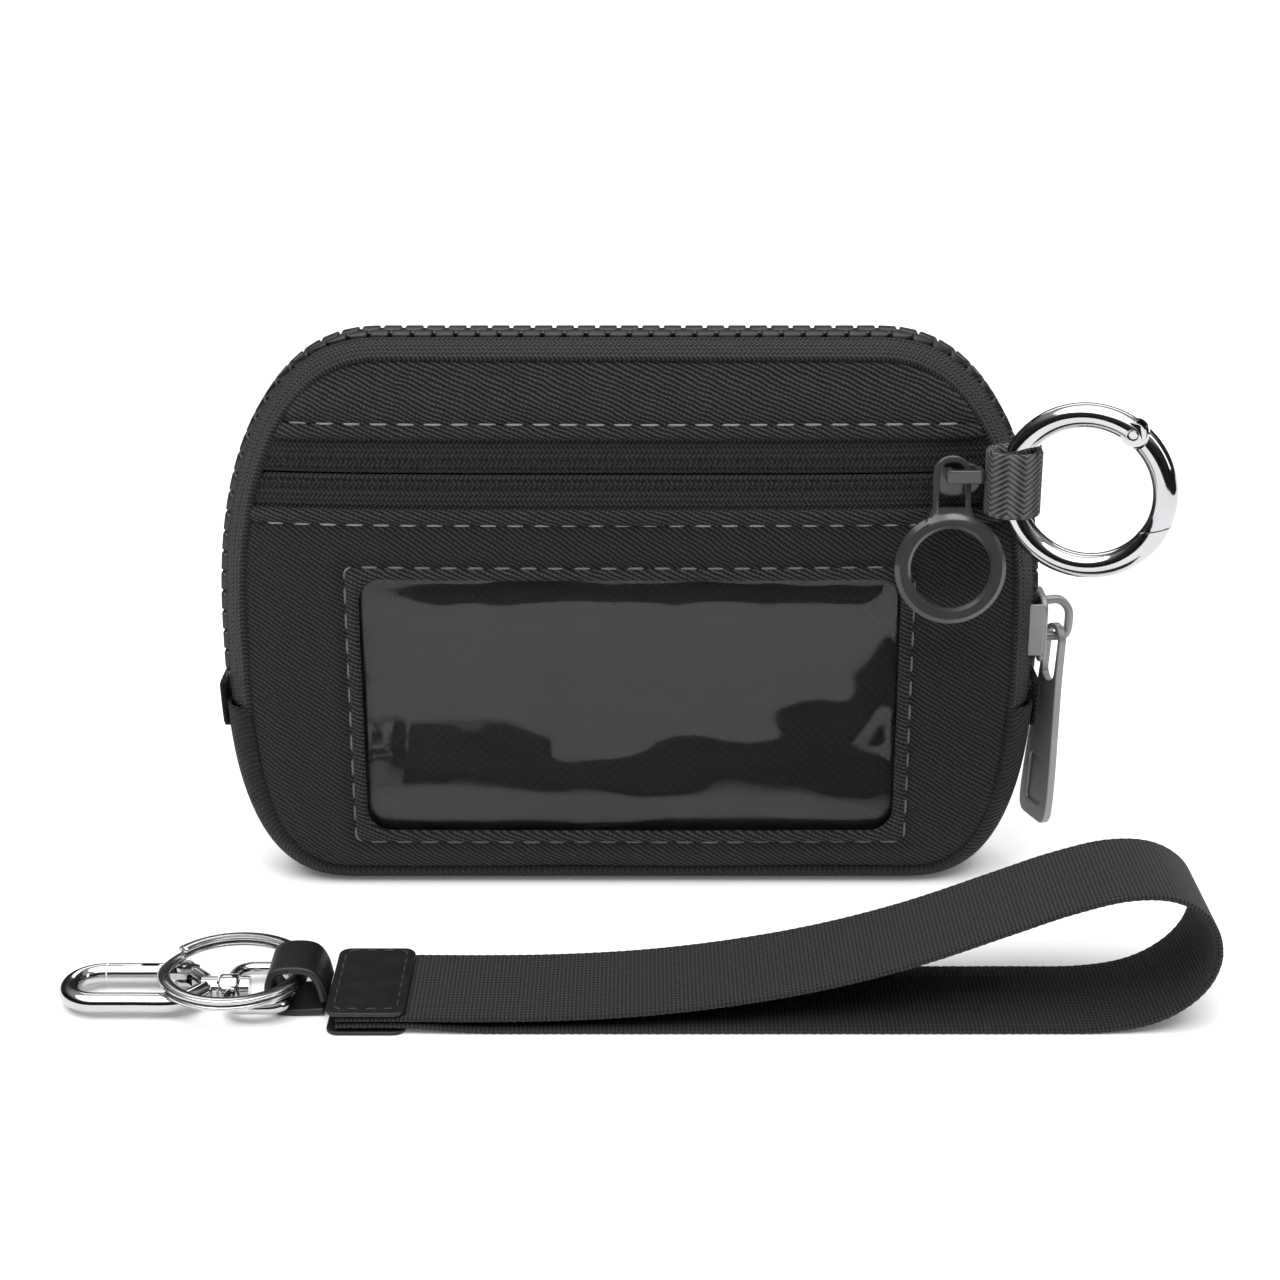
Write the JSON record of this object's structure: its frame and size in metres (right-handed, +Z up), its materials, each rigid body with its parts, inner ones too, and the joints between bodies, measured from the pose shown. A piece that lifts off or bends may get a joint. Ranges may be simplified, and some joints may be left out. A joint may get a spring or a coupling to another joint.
{
  "type": "zippered pouch",
  "caption": "Rounded zippered wrist pouch with a card window, front pocket zip, side gate ring and a detached webbing wrist strap with swivel clip.",
  "frame": {"origin": "centre of the pouch's flat bottom", "axes": "+X to the viewer's right, -Y towards the viewer, +Z up"},
  "size_m": [0.1678, 0.0684, 0.09],
  "materials": {
    "twill": "charcoal-black diagonal twill nylon, slight sheen",
    "lining": "black plain-weave lining",
    "zip_tape": "black woven zip tape",
    "teeth": "black satin moulded plastic",
    "vinyl": "clear flexible sheet, slightly wavy",
    "slider_metal": "mid-grey satin die-cast metal",
    "pull_gloss": "dark grey glossy coated metal",
    "webbing": "black ribbed webbing",
    "leather": "smooth black, soft sheen, burnished edges",
    "chrome": "polished"
  },
  "bodies": {
    "pouch": {"window_backing": "lining", "pocket_bag": "lining", "front_lining": "lining", "back_lining_lower": "lining", "front_panel_upper": "twill", "pocket_welt_upper": "twill", "pocket_welt_lower": "twill", "front_panel_lower": "twill", "window_lip": "twill", "back_panel_lower": "twill", "gusset_bottom": "twill", "zip_end_tab_left": "twill", "zip_end_tab_right": "twill", "pocket_tape_upper": "zip_tape", "pocket_tape_lower": "zip_tape", "front_zip_tape": "zip_tape", "back_tape_left": "zip_tape", "back_tape_right": "zip_tape", "pocket_coil_upper": "teeth", "pocket_coil_lower": "teeth", "front_zip_teeth": "teeth", "back_teeth_left": "teeth", "back_teeth_right": "teeth", "id_window": "vinyl"},
    "back_flap": {"back_panel_upper": "twill", "back_lining_upper": "lining", "back_tape_top": "zip_tape", "back_teeth_top": "teeth"},
    "main_slider": {"main_slider_body": "slider_metal", "main_slider_wedge": "slider_metal", "main_slider_bridge": "slider_metal"},
    "side_pull": {"main_pull": "slider_metal"},
    "pocket_slider": {"pocket_slider_body": "pull_gloss", "pocket_slider_bridge": "pull_gloss"},
    "front_pull": {"pocket_pull": "pull_gloss"},
    "tab": {"ring_tab": "webbing"},
    "o_ring": {"o_ring_body": "chrome", "o_ring_pin": "chrome"},
    "o_gate": {"o_ring_gate": "chrome"},
    "strap": {"strap_webbing": "webbing", "end_cap_bottom": "leather", "end_cap_top": "leather", "leather_loop": "leather"},
    "swivel": {"swivel_eye": "chrome"},
    "clip": {"clip_body": "chrome", "clip_pin": "chrome"},
    "thumb_gate": {"clip_gate": "chrome"},
    "key_ring": {"split_ring": "chrome"}
  },
  "joints": [
    {"name": "mouth", "type": "hinge", "parent": "pouch", "child": "back_flap", "pos_m": [0, 0.0109, 0.064], "axis": [-1, 0, 0], "range_deg": [0, 45]},
    {"name": "main_slider_travel", "type": "slide", "parent": "pouch", "child": "main_slider", "axis": [0, 0, 1], "range_m": [0, 0.0045]},
    {"name": "main_pull_swing", "type": "hinge", "parent": "main_slider", "child": "side_pull", "pos_m": [0.06795, 0, 0.0402], "axis": [-1, 0, 0], "range_deg": [-70, 24]},
    {"name": "pocket_slider_travel", "type": "slide", "parent": "pouch", "child": "pocket_slider", "axis": [-1, 0, 0], "range_m": [0, 0.098]},
    {"name": "pocket_pull_swing", "type": "hinge", "parent": "pocket_slider", "child": "front_pull", "pos_m": [0.0486, -0.01255, 0.0706], "axis": [0, 1, 0], "range_deg": [-3, 75]},
    {"name": "tab_flex", "type": "hinge", "parent": "pouch", "child": "tab", "pos_m": [0.0624, -0.0104, 0.0692], "axis": [0, 0, 1], "range_deg": [0, 50]},
    {"name": "o_ring_swing", "type": "hinge", "parent": "tab", "child": "o_ring", "pos_m": [0.0574, -0.0126, 0.0692], "axis": [0, 0, 1], "range_deg": [-5, 21]},
    {"name": "o_ring_gate_swing", "type": "hinge", "parent": "o_ring", "child": "o_gate", "pos_m": [0.07429, -0.01908, 0.07882], "axis": [0.3584, 0.9336, 0], "range_deg": [0, 25], "stiffness_Nm_per_rad": 0.004},
    {"name": "strap_lift", "type": "slide", "parent": "pouch", "child": "strap", "axis": [0, 0, 1], "range_m": [0, 0.1]},
    {"name": "hardware_tilt", "type": "hinge", "parent": "strap", "child": "swivel", "pos_m": [-0.0496, -0.0471, 0.0023], "axis": [0, 1, 0], "range_deg": [0, 28]},
    {"name": "swivel_spin", "type": "hinge", "parent": "swivel", "child": "clip", "pos_m": [-0.061, -0.0471, 0.0023], "axis": [1, 0, 0], "range_deg": [0, 90]},
    {"name": "clip_gate_swing", "type": "hinge", "parent": "clip", "child": "thumb_gate", "pos_m": [-0.066, -0.04255, 0.0023], "axis": [0, 0, 1], "range_deg": [0, 25], "stiffness_Nm_per_rad": 0.003},
    {"name": "key_ring_tilt", "type": "hinge", "parent": "swivel", "child": "key_ring", "pos_m": [-0.04775, -0.0469, 0.005], "axis": [0, 1, 0], "range_deg": [0, 25]}
  ],
  "couplings": [
    {"joint": "swivel_spin", "follows": "key_ring_tilt", "ratio": 3.6}
  ]
}
